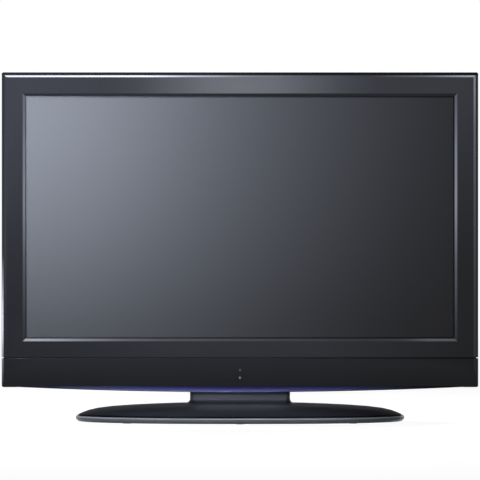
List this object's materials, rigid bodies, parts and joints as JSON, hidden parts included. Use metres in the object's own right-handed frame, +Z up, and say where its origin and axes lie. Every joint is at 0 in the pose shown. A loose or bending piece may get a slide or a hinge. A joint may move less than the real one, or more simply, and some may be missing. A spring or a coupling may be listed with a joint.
{
  "type": "flat screen television",
  "caption": "Wide flat-panel television with a gloss dark bezel, leaning lower panel, arched violet accent strip and an oval domed stand on which the head swivels.",
  "frame": {"origin": "on the floor under the swivel axis, at the centre of the stand's base", "axes": "+X along the screen's width, to the right seen from the front; +Y from the screen to the back; +Z up"},
  "size_m": [1.04, 0.284, 0.764],
  "materials": {
    "bezel_gloss": "polished moulding",
    "panel_gloss": "polished moulding",
    "accent_violet": "tinted, polished",
    "base_gloss": "polished moulding",
    "rear_black": "fine grain",
    "screen_glass": "anti-glare front polariser",
    "lens_dark": "infrared window",
    "lens_grey": "light pipe",
    "zinc_steel": "zinc plated",
    "black_steel": "powder coated",
    "foot_rubber": "plain",
    "acetal": "turned",
    "board_green": "solder mask",
    "board_tan": "phenolic",
    "white_plastic": "plain moulding",
    "lamp_glass": "phosphor coated",
    "cable_white": "flat film",
    "nickel": "plated shell",
    "socket_black": "plain moulding",
    "socket_blue": "plain moulding",
    "key_black": "satin"
  },
  "bodies": {
    "base": {"base_rim": "base_gloss", "base_plate": "zinc_steel", "base_cover": "base_gloss", "rubber_feet": "foot_rubber", "swivel_housing": "zinc_steel", "swivel_bush": "acetal", "housing_screws": "zinc_steel"},
    "display": {"swivel_shaft": "zinc_steel", "swivel_retainer": "zinc_steel", "swivel_bolt": "zinc_steel", "stand_post": "black_steel", "neck_cover": "base_gloss", "stand_screws": "zinc_steel", "front_bezel": "bezel_gloss", "lower_panel": "panel_gloss", "accent_strip": "accent_violet", "receiver_lens": "lens_dark", "indicator_lens": "lens_grey", "receiver_board": "board_green", "seam_screws": "zinc_steel", "lcd_cell": "screen_glass", "lcd_front_frame": "black_steel", "lcd_mid_frame": "white_plastic", "film_stack": "white_plastic", "lamps": "lamp_glass", "lamp_holders": "white_plastic", "backlight_tray": "zinc_steel", "mount_rails": "zinc_steel", "mount_bosses": "zinc_steel", "stand_bracket": "zinc_steel", "inverter_board": "board_green", "timing_board": "board_green", "supply_board": "board_tan", "main_board": "board_green", "panel_cable": "cable_white", "jack_plate": "zinc_steel", "hdmi_sockets": "nickel", "av_jacks": "socket_black", "vga_socket": "socket_blue", "antenna_socket": "nickel", "mains_inlet": "socket_black", "speaker_box_left": "socket_black", "speaker_box_right": "socket_black", "speaker_drivers": "socket_black", "rear_cover": "rear_black", "rear_screws": "black_steel", "key_board": "board_green", "key_switches": "socket_black"},
    "key_power": {"key_power": "key_black"},
    "key_source": {"key_source": "key_black"},
    "key_menu": {"key_menu": "key_black"},
    "key_enter": {"key_enter": "key_black"},
    "key_volume_down": {"key_volume_down": "key_black"},
    "key_volume_up": {"key_volume_up": "key_black"},
    "key_channel_down": {"key_channel_down": "key_black"},
    "key_channel_up": {"key_channel_up": "key_black"}
  },
  "joints": [
    {"name": "stand_swivel", "type": "hinge", "parent": "base", "child": "display", "pos_m": [0, 0, 0], "axis": [0, 0, 1], "range_deg": [-20, 20]},
    {"name": "key_power_press", "type": "slide", "parent": "display", "child": "key_power", "axis": [-1, 0, 0], "range_m": [0, 0.0008], "stiffness_N_per_m": 1000},
    {"name": "key_source_press", "type": "slide", "parent": "display", "child": "key_source", "axis": [-1, 0, 0], "range_m": [0, 0.0008], "stiffness_N_per_m": 1000},
    {"name": "key_menu_press", "type": "slide", "parent": "display", "child": "key_menu", "axis": [-1, 0, 0], "range_m": [0, 0.0008], "stiffness_N_per_m": 1000},
    {"name": "key_enter_press", "type": "slide", "parent": "display", "child": "key_enter", "axis": [-1, 0, 0], "range_m": [0, 0.0008], "stiffness_N_per_m": 1000},
    {"name": "key_volume_down_press", "type": "slide", "parent": "display", "child": "key_volume_down", "axis": [-1, 0, 0], "range_m": [0, 0.0008], "stiffness_N_per_m": 1000},
    {"name": "key_volume_up_press", "type": "slide", "parent": "display", "child": "key_volume_up", "axis": [-1, 0, 0], "range_m": [0, 0.0008], "stiffness_N_per_m": 1000},
    {"name": "key_channel_down_press", "type": "slide", "parent": "display", "child": "key_channel_down", "axis": [-1, 0, 0], "range_m": [0, 0.0008], "stiffness_N_per_m": 1000},
    {"name": "key_channel_up_press", "type": "slide", "parent": "display", "child": "key_channel_up", "axis": [-1, 0, 0], "range_m": [0, 0.0008], "stiffness_N_per_m": 1000}
  ]
}
